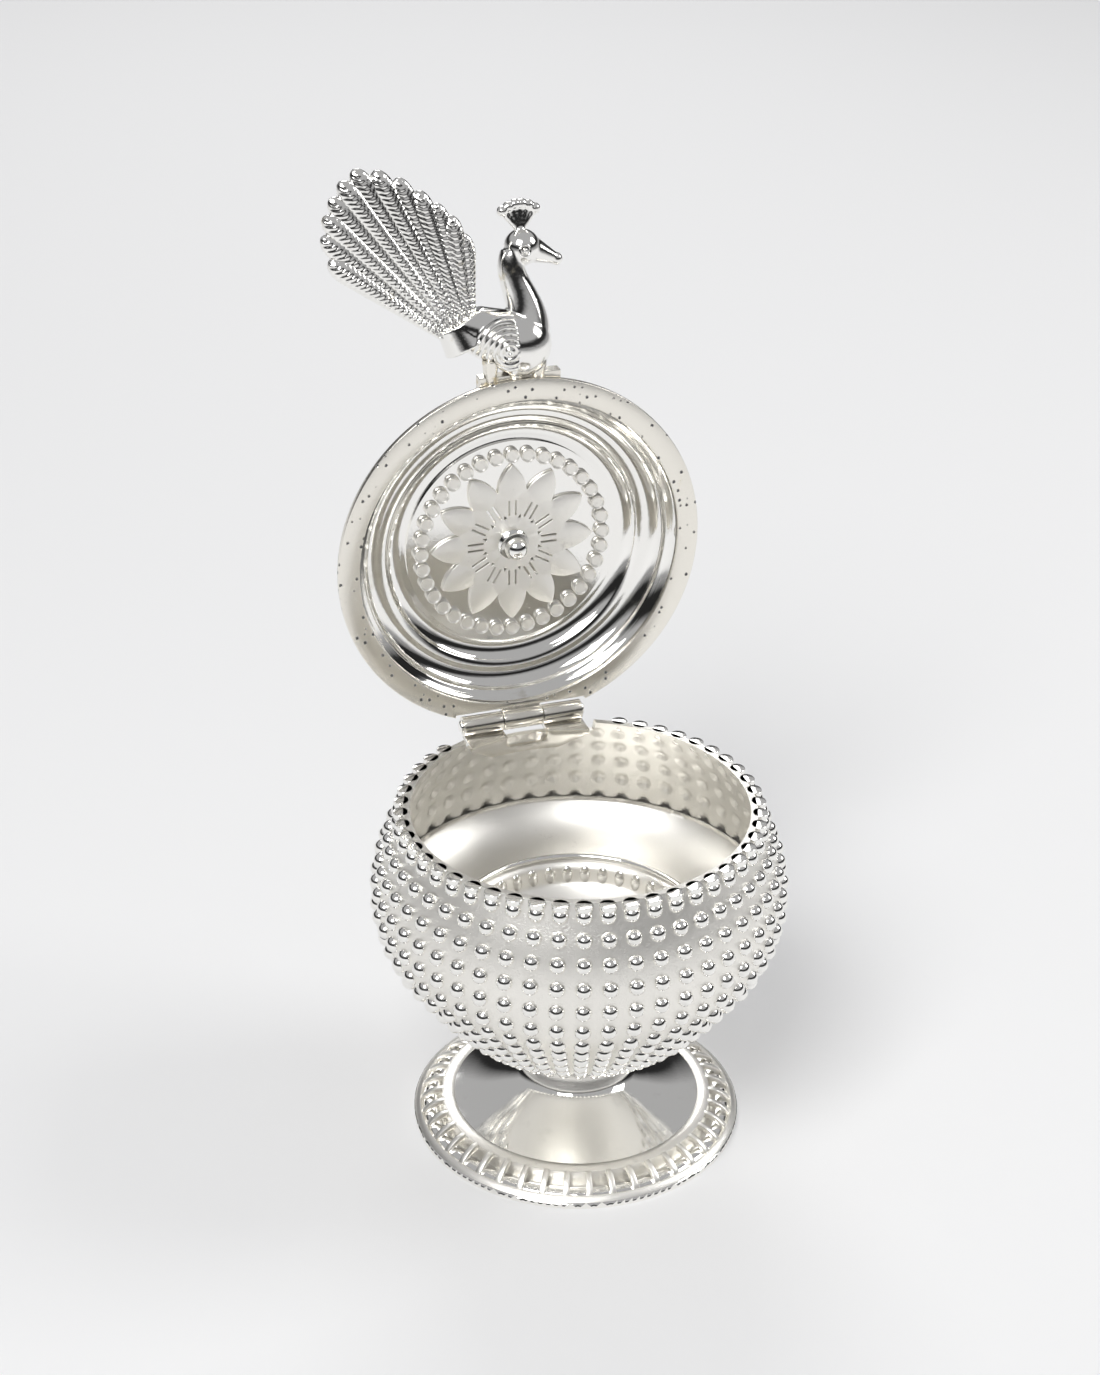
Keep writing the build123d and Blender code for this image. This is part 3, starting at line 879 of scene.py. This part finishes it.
    def beads(self) -> Item:
        """Sets a bead at each column of each row.

        Returns:
            All the beads as one piece.
        """
        places = []
        for radius, height, out in self.rows():
            size = min(self.bead_radius, self.bead_share * 2 * math.pi * radius / self.columns)
            for column in range(self.columns):
                turn = column_turn(column, self.columns)
                outward = turn @ out
                spot = turn @ Vector((radius * MM, 0, height * MM)) - outward * self.bead_sink * MM
                if self.in_notch(spot, height, self.bead_radius):
                    continue
                places.append(frame_at(spot, outward, turn @ BACK) @ scaled(size, size, size))
        piece = repeat(self.one_bead(), places, "bowl_beads")
        smooth(piece, ROUND_ANGLE)
        return piece

    def scallops(self) -> Item:
        """Sets a half cup at each column of the mouth, cut level at the top.

        Returns:
            All the scallops as one piece.
        """
        segments, rings, edge_faces = self.scallop_faces
        cup = cut_ball("scallop", segments, rings, self.scallop_cut, 1)
        bevel(cup, self.scallop_edge, edge_faces)
        radius = self.outer_radius_near(self.mouth - self.scallop_drop)
        size = scaled(self.scallop_reach, self.scallop_width, self.scallop_width)
        low = Vector((radius * MM, 0, (self.mouth - self.scallop_cut * self.scallop_width) * MM))
        places = []
        for column in range(self.columns):
            turn = column_turn(column, self.columns)
            if not self.in_notch(turn @ low, self.mouth, self.scallop_width):
                places.append(turn @ Matrix.Translation(low) @ size)
        piece = repeat(cup, places, "bowl_scallops")
        smooth(piece, EDGE_ANGLE)
        return piece

    def raise_floor(self, point: Vector) -> Vector:
        """Raises a point of the floor to the height seen in the photograph, out to the wall there."""
        radius = math.hypot(point.x, point.y) / MM
        past = max(0.0, radius - self.floor_wall) / self.floor_slope
        spread = 1 + self.floor_spread * past / max(radius, 1.0)
        return Vector((point.x * spread, point.y * spread, point.z + self.floor_lift * MM))

    def floor_ovals(self) -> Item:
        """Sets the row of upright ovals round the step of the floor.

        Returns:
            All the ovals as one piece.
        """
        inward = Vector((-1, 0, self.oval_tilt)).normalized()
        size = scaled(*self.oval_size)
        places = []
        for index in range(self.oval_count):
            turn = column_turn(index + 0.5, self.oval_count)
            spot = turn @ Vector((self.oval_radius * MM, 0, self.oval_height * MM))
            places.append(frame_at(spot, turn @ inward, turn @ BACK) @ size)
        piece = repeat(self.one_bead(), places, "floor_ovals")
        smooth(piece, ROUND_ANGLE)
        return piece

    def build(self) -> None:
        """Builds the bowl's pieces."""
        dress(self.shell(), Body.BASE, "beaded_bowl", BOWL_GROUND, ("bowl",))
        dress(self.beads(), Body.BASE, "polished_wire", BEAD_POLISH)
        dress(self.scallops(), Body.BASE, "polished_wire", BEAD_POLISH)
        for node, slot, finish in (("bowl_floor", "matte_floor", FROSTED),
                                   ("bowl_floor_ring", "polished_wire", POLISHED)):
            piece = solid_copy(node)
            reshape(piece, self.raise_floor)
            dress(piece, Body.BASE, slot, finish, (node,))
        dress(self.floor_ovals(), Body.BASE, "matte_floor", BEAD_POLISH)


@dataclass
class Hinge:
    """The two leaves with their knuckles, and the pin."""

    edge: float = 0.1

    def build(self) -> None:
        """Builds the hinge's pieces."""
        carry("hinge_bowl_leaf", Body.BASE, "hinge_satin", HINGE_SATIN, self.edge)
        carry("hinge_pin", Body.BASE, "pin_polished", POLISHED)
        carry("hinge_lid_leaf", Body.LID, "hinge_satin", HINGE_SATIN, self.edge)


@dataclass
class Lid:
    """The flange, the spun dome, the beaded edge and the medallion. Sizes in millimetres."""

    centre_height: float = 79.4
    outer_face: float = 27.95
    bead_ring: float = 26.2
    bead_count: int = 64
    bead_radius: float = 0.8
    hinge_gap: float = 10.1
    perch_gap: float = 6.35
    wire_radius: float = 0.4
    wire_steps: int = 64
    wire_sides: int = 12
    disc_count: int = 36
    disc_ring: float = 13.9
    disc_radius: float = 1.1
    disc_front: float = 31.15
    disc_thickness: float = 0.8
    disc_rim: float = 0.22
    disc_shoulder: float = 0.12
    disc_dish: float = 0.14
    disc_edge: float = 0.07
    disc_sides: int = 24
    disc_angle: float = 24.0
    level_face: float = 0.9
    edge: float = 0.09

    def beading(self) -> Item:
        """Sets the half beads round the flange's outer face, left out at the hinge and at the perch.

        Returns:
            The beads as one piece.
        """
        places = []
        size = scaled(self.bead_radius, self.bead_radius, self.bead_radius)
        for index in range(self.bead_count):
            angle = 2 * math.pi * index / self.bead_count
            across, up = self.bead_ring * math.sin(angle), self.bead_ring * math.cos(angle)
            gap = self.perch_gap if up > 0 else self.hinge_gap
            if abs(across) < gap + self.bead_radius:
                continue
            spot = Vector((across, self.outer_face, self.centre_height + up)) * MM
            places.append(frame_at(spot, BACK, RIGHT) @ size)
        piece = repeat(Bowl().one_bead(), places, "edge_beads")
        smooth(piece, ROUND_ANGLE)
        return piece

    def wire(self, side: int) -> Item:
        """Spins the wire that the edge beads sit on, on one side of the lid.

        Args:
            side: 1 for the right side and -1 for the left.

        Returns:
            The wire.
        """
        start = math.asin(self.perch_gap / self.bead_ring)
        end = math.pi - math.asin(self.hinge_gap / self.bead_ring)
        centre = Vector((0, self.outer_face * MM, self.centre_height * MM))
        deselect()
        bpy.ops.mesh.primitive_circle_add(vertices=self.wire_sides, radius=self.wire_radius * MM,
                                          fill_type="NGON")
        piece = new_primitive("edge_wire_right" if side > 0 else "edge_wire_left")
        spot = Vector((side * math.sin(start), 0, math.cos(start))) * self.bead_ring * MM
        along = Vector((side * math.cos(start), 0, -math.sin(start)))
        piece.data.transform(frame_at(centre + spot, along, BACK))
        spin_all(piece, self.wire_steps, side * (end - start), centre, BACK, MERGE_GAP)
        smooth(piece, TRIM_ANGLE)
        return piece

    def discs(self) -> Item:
        """Models one flat bead with a raised edge and sets it round the medallion.

        Returns:
            The flat beads as one piece.
        """
        deselect()
        bpy.ops.mesh.primitive_cylinder_add(vertices=self.disc_sides, radius=self.disc_radius * MM,
                                            depth=self.disc_thickness * MM)
        disc = new_primitive("flat_bead")
        bpy.ops.object.mode_set(mode="EDIT")
        bpy.ops.mesh.select_all(action="DESELECT")
        bpy.ops.object.mode_set(mode="OBJECT")
        for face in disc.data.polygons:
            face.select = face.normal.z > self.level_face
        bpy.ops.object.mode_set(mode="EDIT")
        bpy.ops.mesh.inset(thickness=self.disc_shoulder * MM)
        bpy.ops.mesh.inset(thickness=self.disc_rim * MM, depth=-self.disc_dish * MM)
        bpy.ops.object.mode_set(mode="OBJECT")
        bevel(disc, self.disc_edge * MM, angle=TRIM_ANGLE)
        middle = self.disc_front + self.disc_thickness / 2
        places = []
        for index in range(self.disc_count):
            angle = 2 * math.pi * index / self.disc_count
            spot = Vector((self.disc_ring * math.sin(angle), middle,
                           self.centre_height + self.disc_ring * math.cos(angle))) * MM
            places.append(frame_at(spot, -BACK, RIGHT))
        piece = repeat(disc, places, "medallion_discs")
        smooth(piece, self.disc_angle)
        return piece

    def build(self) -> None:
        """Builds the lid's pieces."""
        dome_polish = Finish("spun_silver", SILVER, (0.80, 0.78, 0.72), 0.05, 0.15, 8.0, 0.45, 0.6, 0.004,
                             spun_centre=(0.0, self.outer_face * MM, self.centre_height * MM))
        carry("lid_flange", Body.LID, "flange_satin", FLANGE_SATIN, self.edge)
        carry("lid_dome", Body.LID, "dome_polished", dome_polish)
        dress(self.beading(), Body.LID, "beading_polished", BEAD_POLISH, ("edge_beading",))
        for side in (1, -1):
            dress(self.wire(side), Body.LID, "beading_polished", BEAD_POLISH)
        carry("medallion_plate", Body.LID, "medallion_mirror", MEDALLION_GROUND)
        dress(self.discs(), Body.LID, "medallion_matte", FROSTED, ("medallion_beading",))
        carry("medallion_petals", Body.LID, "medallion_matte", FROSTED, self.edge)
        carry("medallion_boss", Body.LID, "boss_polished", POLISHED)


@dataclass
class Peacock:
    """The peacock on the lid's free edge. Places are in the bird's own plane, in millimetres."""

    foot: Point = (0.0, 28.42, 105.8)
    drop: Point = (0.0, -0.38, -1.45)
    lean: float = 15.0
    voxel: float = 0.16
    perch_edge: float = 0.12
    body_passes: int = 3
    crest_passes: int = 2
    faces_round: int = 20
    ball_rings: int = 12
    softening: float = 0.5
    wing_centre: Pair = (-2.2, 4.9)
    wing_reach: float = 5.3
    wing_ridge: float = 0.78
    wing_depth: float = 0.2
    wing_back: float = 1.3
    wing_fade: float = 0.7
    wing_side: float = 0.8
    head: Pair = (1.9, 18.8)
    head_radius: float = 2.6
    eye: Pair = (1.55, 18.5)
    eye_radius: float = 0.8
    eye_wire: float = 0.2
    eye_ball: float = 0.42
    eye_sink: float = 0.06
    eye_ring_faces: tuple[int, int] = (28, 10)
    eye_ball_faces: tuple[int, int] = (16, 10)
    beak_root: Pair = (3.2, 18.4)
    beak_tip: Pair = (6.75, 16.7)
    beak_radii: Pair = (1.95, 0.8)
    beak_knob: float = 0.95
    crest_root: Pair = (1.8, 20.9)
    crest_root_radius: float = 0.8
    crest_angles: tuple[float, ...] = (128, 112, 97, 83, 68, 52)
    crest_length: float = 3.9
    crest_radii: Pair = (0.42, 0.52)
    crest_knob: float = 0.8
    tail_root: Pair = (-6.2, 4.3)
    tail_start: float = 4.9
    first_angle: float = 91.0
    last_angle: float = 142.0
    lengths: tuple[float, ...] = (16.6, 19.3, 21.4, 23.8, 26.5, 28.8, 30.5, 30.3, 29.5, 28.4, 26.9, 24.2)
    tip_radius: float = 1.6
    tip_length: float = 3.0
    root_radius: float = 0.62
    tail_longer: float = 0.7
    feather_half: float = 0.72
    feather_step: float = 0.28
    feather_gap: float = 0.004
    barb_pitch: float = 0.78
    barb_depth: float = 0.26
    barb_slant: float = 1.7
    quill_height: float = 0.12
    quill_width: float = 0.14
    crown: float = 0.7
    tip_thin: float = 0.2
    barb_gain: float = 1.4
    rings: int = 130
    sides: int = 30

    def plane(self) -> Matrix:
        """The bird's plane: X across, Y up and Z out of its side, in metres."""
        lean = math.radians(self.lean)
        up = Vector((0, math.sin(lean), math.cos(lean)))
        turn = Matrix((RIGHT, up, RIGHT.cross(up))).transposed().to_4x4()
        return Matrix.Translation(Vector(self.foot) * MM) @ turn @ Matrix.Scale(MM, 4)

    def rod(self, start: Pair, end: Pair, radii: Pair) -> Item:
        """Models a tapered round rod between two places in the bird's plane.

        Args:
            start: Where it starts.
            end: Where it ends.
            radii: Its radius at each end, in millimetres.

        Returns:
            The rod.
        """
        first, last = Vector((*start, 0)), Vector((*end, 0))
        deselect()
        bpy.ops.mesh.primitive_cone_add(vertices=self.faces_round, radius1=radii[0], radius2=radii[1],
                                        depth=(last - first).length)
        piece = new_primitive("rod")
        across = UP.cross(last - first)
        piece.data.transform(self.plane() @ frame_at((first + last) / 2, last - first, across))
        return piece

    def knob(self, centre: Pair, radius: float) -> Item:
        """Models a ball at a place in the bird's plane.

        Args:
            centre: Where it sits.
            radius: Its radius, in millimetres.

        Returns:
            The ball.
        """
        deselect()
        bpy.ops.mesh.primitive_uv_sphere_add(segments=self.faces_round, ring_count=self.ball_rings,
                                             radius=radius)
        piece = new_primitive("knob")
        piece.data.transform(self.plane() @ Matrix.Translation(Vector((*centre, 0))))
        return piece

    def fuse(self, piece: Item, passes: int) -> None:
        """Fuses a piece's forms into one smooth casting.

        Args:
            piece: The piece to fuse.
            passes: How many times the surface is smoothed.
        """
        apply_modifier(piece, "REMESH", mode="VOXEL", voxel_size=self.voxel * MM)
        apply_modifier(piece, "SMOOTH", factor=self.softening, iterations=passes)

    def lowered(self, node: str) -> Item:
        """Copies a solid and sets it down on the lid's edge as the real bird stands."""
        piece = solid_copy(node)
        reshape(piece, lambda point: point + Vector(self.drop) * MM)
        return piece

    def crest(self) -> Item:
        """Models the crest: six plumes with a knob on each, joined at the head.

        Returns:
            The crest.
        """
        parts = [self.knob(self.crest_root, self.crest_root_radius)]
        for angle in self.crest_angles:
            turn = math.radians(angle)
            end = (self.crest_root[0] + self.crest_length * math.cos(turn),
                   self.crest_root[1] + self.crest_length * math.sin(turn))
            parts += [self.rod(self.crest_root, end, self.crest_radii), self.knob(end, self.crest_knob)]
        piece = joined(parts, "peacock_plumes")
        self.fuse(piece, self.crest_passes)
        smooth(piece, CAST_ANGLE)
        return piece

    def body(self) -> Item:
        """Carves the wings' ridges into the fused body.

        Returns:
            The carved body.
        """
        beak = self.rod(self.beak_root, self.beak_tip, self.beak_radii)
        knob = self.knob(self.beak_tip, self.beak_knob)
        piece = joined([self.lowered("peacock_body"), beak, knob], "peacock_carved")
        self.fuse(piece, self.body_passes)
        to_bird = self.plane().inverted()
        normals = {vertex.index: vertex.normal.copy() for vertex in piece.data.vertices}
        for vertex in piece.data.vertices:
            across, up, side = to_bird @ vertex.co
            reach = math.hypot(across - self.wing_centre[0], up - self.wing_centre[1])
            forward = across > self.wing_centre[0] + self.wing_back
            if abs(side) < self.wing_side or reach > self.wing_reach or forward:
                continue
            fade = min(1.0, (self.wing_reach - reach) / self.wing_fade)
            fade *= min(1.0, (abs(side) - self.wing_side) / self.wing_side)
            wave = abs(math.sin(math.pi * reach / self.wing_ridge)) - 0.5
            vertex.co += normals[vertex.index] * wave * 2 * self.wing_depth * fade * MM
        piece.data.update()
        smooth(piece, CAST_ANGLE)
        return piece

    def eyes(self) -> Item:
        """Models the ring and the ball of each eye.

        Returns:
            The eyes as one piece.
        """
        parts = []
        plane = self.plane()
        offset = math.hypot(self.eye[0] - self.head[0], self.eye[1] - self.head[1])
        side = math.sqrt(self.head_radius ** 2 - offset ** 2) - self.eye_sink
        for way in (-1, 1):
            place = plane @ Vector((self.eye[0], self.eye[1], way * side))
            facing = (plane.to_3x3() @ Vector((0, 0, way))).to_track_quat("Z", "Y").to_euler()
            around, through = self.eye_ring_faces
            bpy.ops.mesh.primitive_torus_add(major_radius=self.eye_radius * MM, major_segments=around,
                                             minor_radius=self.eye_wire * MM, minor_segments=through,
                                             location=place, rotation=facing)
            parts.append(new_primitive("eye_ring"))
            segments, rings = self.eye_ball_faces
            bpy.ops.mesh.primitive_uv_sphere_add(segments=segments, ring_count=rings,
                                                 radius=self.eye_ball * MM, location=place)
            parts.append(new_primitive("eye_ball"))
        piece = joined(parts, "peacock_eyes")
        apply_place(piece)
        smooth(piece, ROUND_ANGLE)
        return piece

    def feather(self, index: int) -> Item:
        """Models one tail feather, with its quill and its slanting barbs.

        Args:
            index: Which feather, from the one beside the neck.

        Returns:
            The feather.
        """
        deselect()
        bpy.ops.mesh.primitive_grid_add(x_subdivisions=self.rings, y_subdivisions=self.sides, size=1.0)
        piece = new_primitive("feather")
        length = self.lengths[index] + self.tail_longer
        turn = (self.last_angle - self.first_angle) / (len(self.lengths) - 1)
        angle = math.radians(self.first_angle + index * turn)
        along = Vector((math.cos(angle), math.sin(angle), 0))
        across = Vector((math.sin(angle), -math.cos(angle), 0))
        root = Vector((*self.tail_root, 0))
        plane = self.plane()
        straight = length - self.tip_length
        thick = self.feather_half + self.feather_step * (index % 2)

        def place(point: Vector) -> Vector:
            """Wraps a point of the flat grid round the feather."""
            share, round_about = point.x + 0.5, 2 * math.pi * (point.y + 0.5)
            reach = self.tail_start + share * (length - self.tail_start)
            if reach < straight:
                grown = (reach - self.tail_start) / (straight - self.tail_start)
                half = self.root_radius + grown * (self.tip_radius - self.root_radius)
                cap = 1.0
            else:
                cap = math.sqrt(max(0.0, 1 - ((reach - straight) / self.tip_length) ** 2))
                half = self.tip_radius * cap
            edge, face = math.cos(round_about), math.sin(round_about)
            quill = self.quill_height * math.exp(-(edge / self.quill_width) ** 2)
            slant = reach / self.barb_pitch - self.barb_slant * abs(edge)
            barbs = self.barb_depth * abs(math.sin(math.pi * slant)) * min(1.0, abs(face) * self.barb_gain)
            shrink = self.tip_thin + (1 - self.tip_thin) * cap
            high = math.copysign(abs(face) ** self.crown, face) * (thick + quill + barbs) * shrink
            return plane @ (root + along * reach + across * half * edge + UP * high)

        reshape(piece, place)
        clean_mesh(piece, self.feather_gap * MM, outward=True)
        return piece

    def tail(self) -> Item:
        """Joins the feathers into the fan.

        Returns:
            The tail.
        """
        feathers = [self.feather(index) for index in range(len(self.lengths))]
        piece = joined(feathers, "peacock_fan")
        smooth(piece, EDGE_ANGLE)
        return piece

    def build(self) -> None:
        """Builds the peacock's pieces."""
        carry("peacock_perch", Body.LID, "peacock_base", CASTING_BASE, self.perch_edge)
        dress(self.body(), Body.LID, "peacock_polished", CASTING, ("peacock_body",))
        dress(self.eyes(), Body.LID, "peacock_polished", CASTING)
        dress(self.tail(), Body.LID, "peacock_tail_satin", CASTING, ("peacock_tail",))
        dress(self.crest(), Body.LID, "peacock_polished", CASTING, ("peacock_crest",))
        legs = self.lowered("peacock_legs")
        self.fuse(legs, self.body_passes)
        smooth(legs, CAST_ANGLE)
        dress(legs, Body.LID, "peacock_base", CASTING_BASE, ("peacock_legs",))


@dataclass
class Studio:
    """The pale floor, the soft lamps, the sky and the camera."""

    camera_place: Point = (-0.1137, -0.3183, 0.2570)
    lens: float = 73.04
    pitch: float = 28.74
    heading: float = -18.9
    roll: float = 0.57
    floor_size: float = 8.0
    floor_colour: Colour = (0.84, 0.84, 0.84)
    floor_roughness: float = 0.9
    floor_gloss: float = 0.1
    sensor: float = 36.0
    nearest: float = 0.01
    aim_height: float = 0.06
    sky_tint: float = 1.02
    sky_stops: tuple[Pair, ...] = ((0.0, 0.32), (0.05, 0.20), (0.11, 0.02), (0.32, 0.02), (0.47, 0.42),
                                   (1.0, 0.42))
    lamps: tuple[tuple[str, Point, float, float], ...] = (
        ("key_lamp", (-0.45, -0.45, 0.80), 0.45, 5.6), ("side_lamp", (0.60, -0.10, 0.50), 0.30, 1.6),
        ("back_lamp", (0.15, 0.70, 0.60), 0.40, 2.0))

    def floor(self) -> None:
        """Lays the plain pale floor that the box stands on."""
        deselect()
        bpy.ops.mesh.primitive_plane_add(size=self.floor_size)
        piece = new_primitive("studio_floor")
        made = bpy.data.materials.new("studio_floor")
        made.use_nodes = True
        surface = made.node_tree.nodes["Principled BSDF"]
        surface.inputs["Base Color"].default_value = (*self.floor_colour, 1.0)
        surface.inputs["Roughness"].default_value = self.floor_roughness
        surface.inputs["Specular IOR Level"].default_value = self.floor_gloss
        piece.data.materials.append(made)

    def lamp(self, name: str, place: Point, size: float, power: float) -> None:
        """Hangs one soft lamp that faces the box.

        Args:
            name: The lamp's name.
            place: Where it hangs, in metres.
            size: Its width, in metres.
            power: Its power, in watts.
        """
        light = bpy.data.lights.new(name, "AREA")
        light.size = size
        light.energy = power
        holder = bpy.data.objects.new(name, light)
        holder.location = place
        facing = UP * self.aim_height - Vector(place)
        holder.rotation_euler = facing.to_track_quat("-Z", "Y").to_euler()
        bpy.context.scene.collection.objects.link(holder)

    def sky(self) -> None:
        """Makes the sky: pale at the horizon, dark above it and pale overhead."""
        world = bpy.data.worlds.new("studio_sky")
        bpy.context.scene.world = world
        world.use_nodes = True
        tree = world.node_tree
        background = tree.nodes["Background"]
        place = tree.nodes.new("ShaderNodeTexCoord")
        parts = tree.nodes.new("ShaderNodeSeparateXYZ")
        ramp = tree.nodes.new("ShaderNodeValToRGB")
        while len(ramp.color_ramp.elements) < len(self.sky_stops):
            ramp.color_ramp.elements.new(0.5)
        for element, (position, level) in zip(ramp.color_ramp.elements, self.sky_stops):
            element.position = position
            element.color = (level, level, level * self.sky_tint, 1.0)
        connect(tree, (place, "Generated", parts, "Vector"), (parts, "Z", ramp, "Fac"),
                (ramp, "Color", background, "Color"))
        background.inputs["Strength"].default_value = 1.0

    def camera(self) -> None:
        """Sets the camera at the photograph's viewing angle."""
        data = bpy.data.cameras.new("photo_view")
        data.lens = self.lens
        data.sensor_width = self.sensor
        data.clip_start = self.nearest
        holder = bpy.data.objects.new("photo_view", data)
        turn = Matrix.Rotation(math.radians(self.heading), 4, "Z")
        turn = turn @ Matrix.Rotation(math.radians(90 - self.pitch), 4, "X")
        turn = turn @ Matrix.Rotation(math.radians(self.roll), 4, "Z")
        holder.matrix_world = Matrix.Translation(self.camera_place) @ turn
        bpy.context.scene.collection.objects.link(holder)
        bpy.context.scene.camera = holder

    def build(self) -> None:
        """Builds the studio."""
        self.floor()
        for lamp in self.lamps:
            self.lamp(*lamp)
        self.sky()
        self.camera()
        bpy.context.scene.view_settings.view_transform = "Standard"


def main() -> None:
    """Builds the box around the frame."""
    logging.basicConfig(level=logging.INFO)
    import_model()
    Studio().build()
    for part in (Foot(), Bowl(), Hinge(), Lid(), Peacock()):
        part.build()
        LOG.info("built %s", type(part).__name__)


if __name__ == "__main__":
    main()
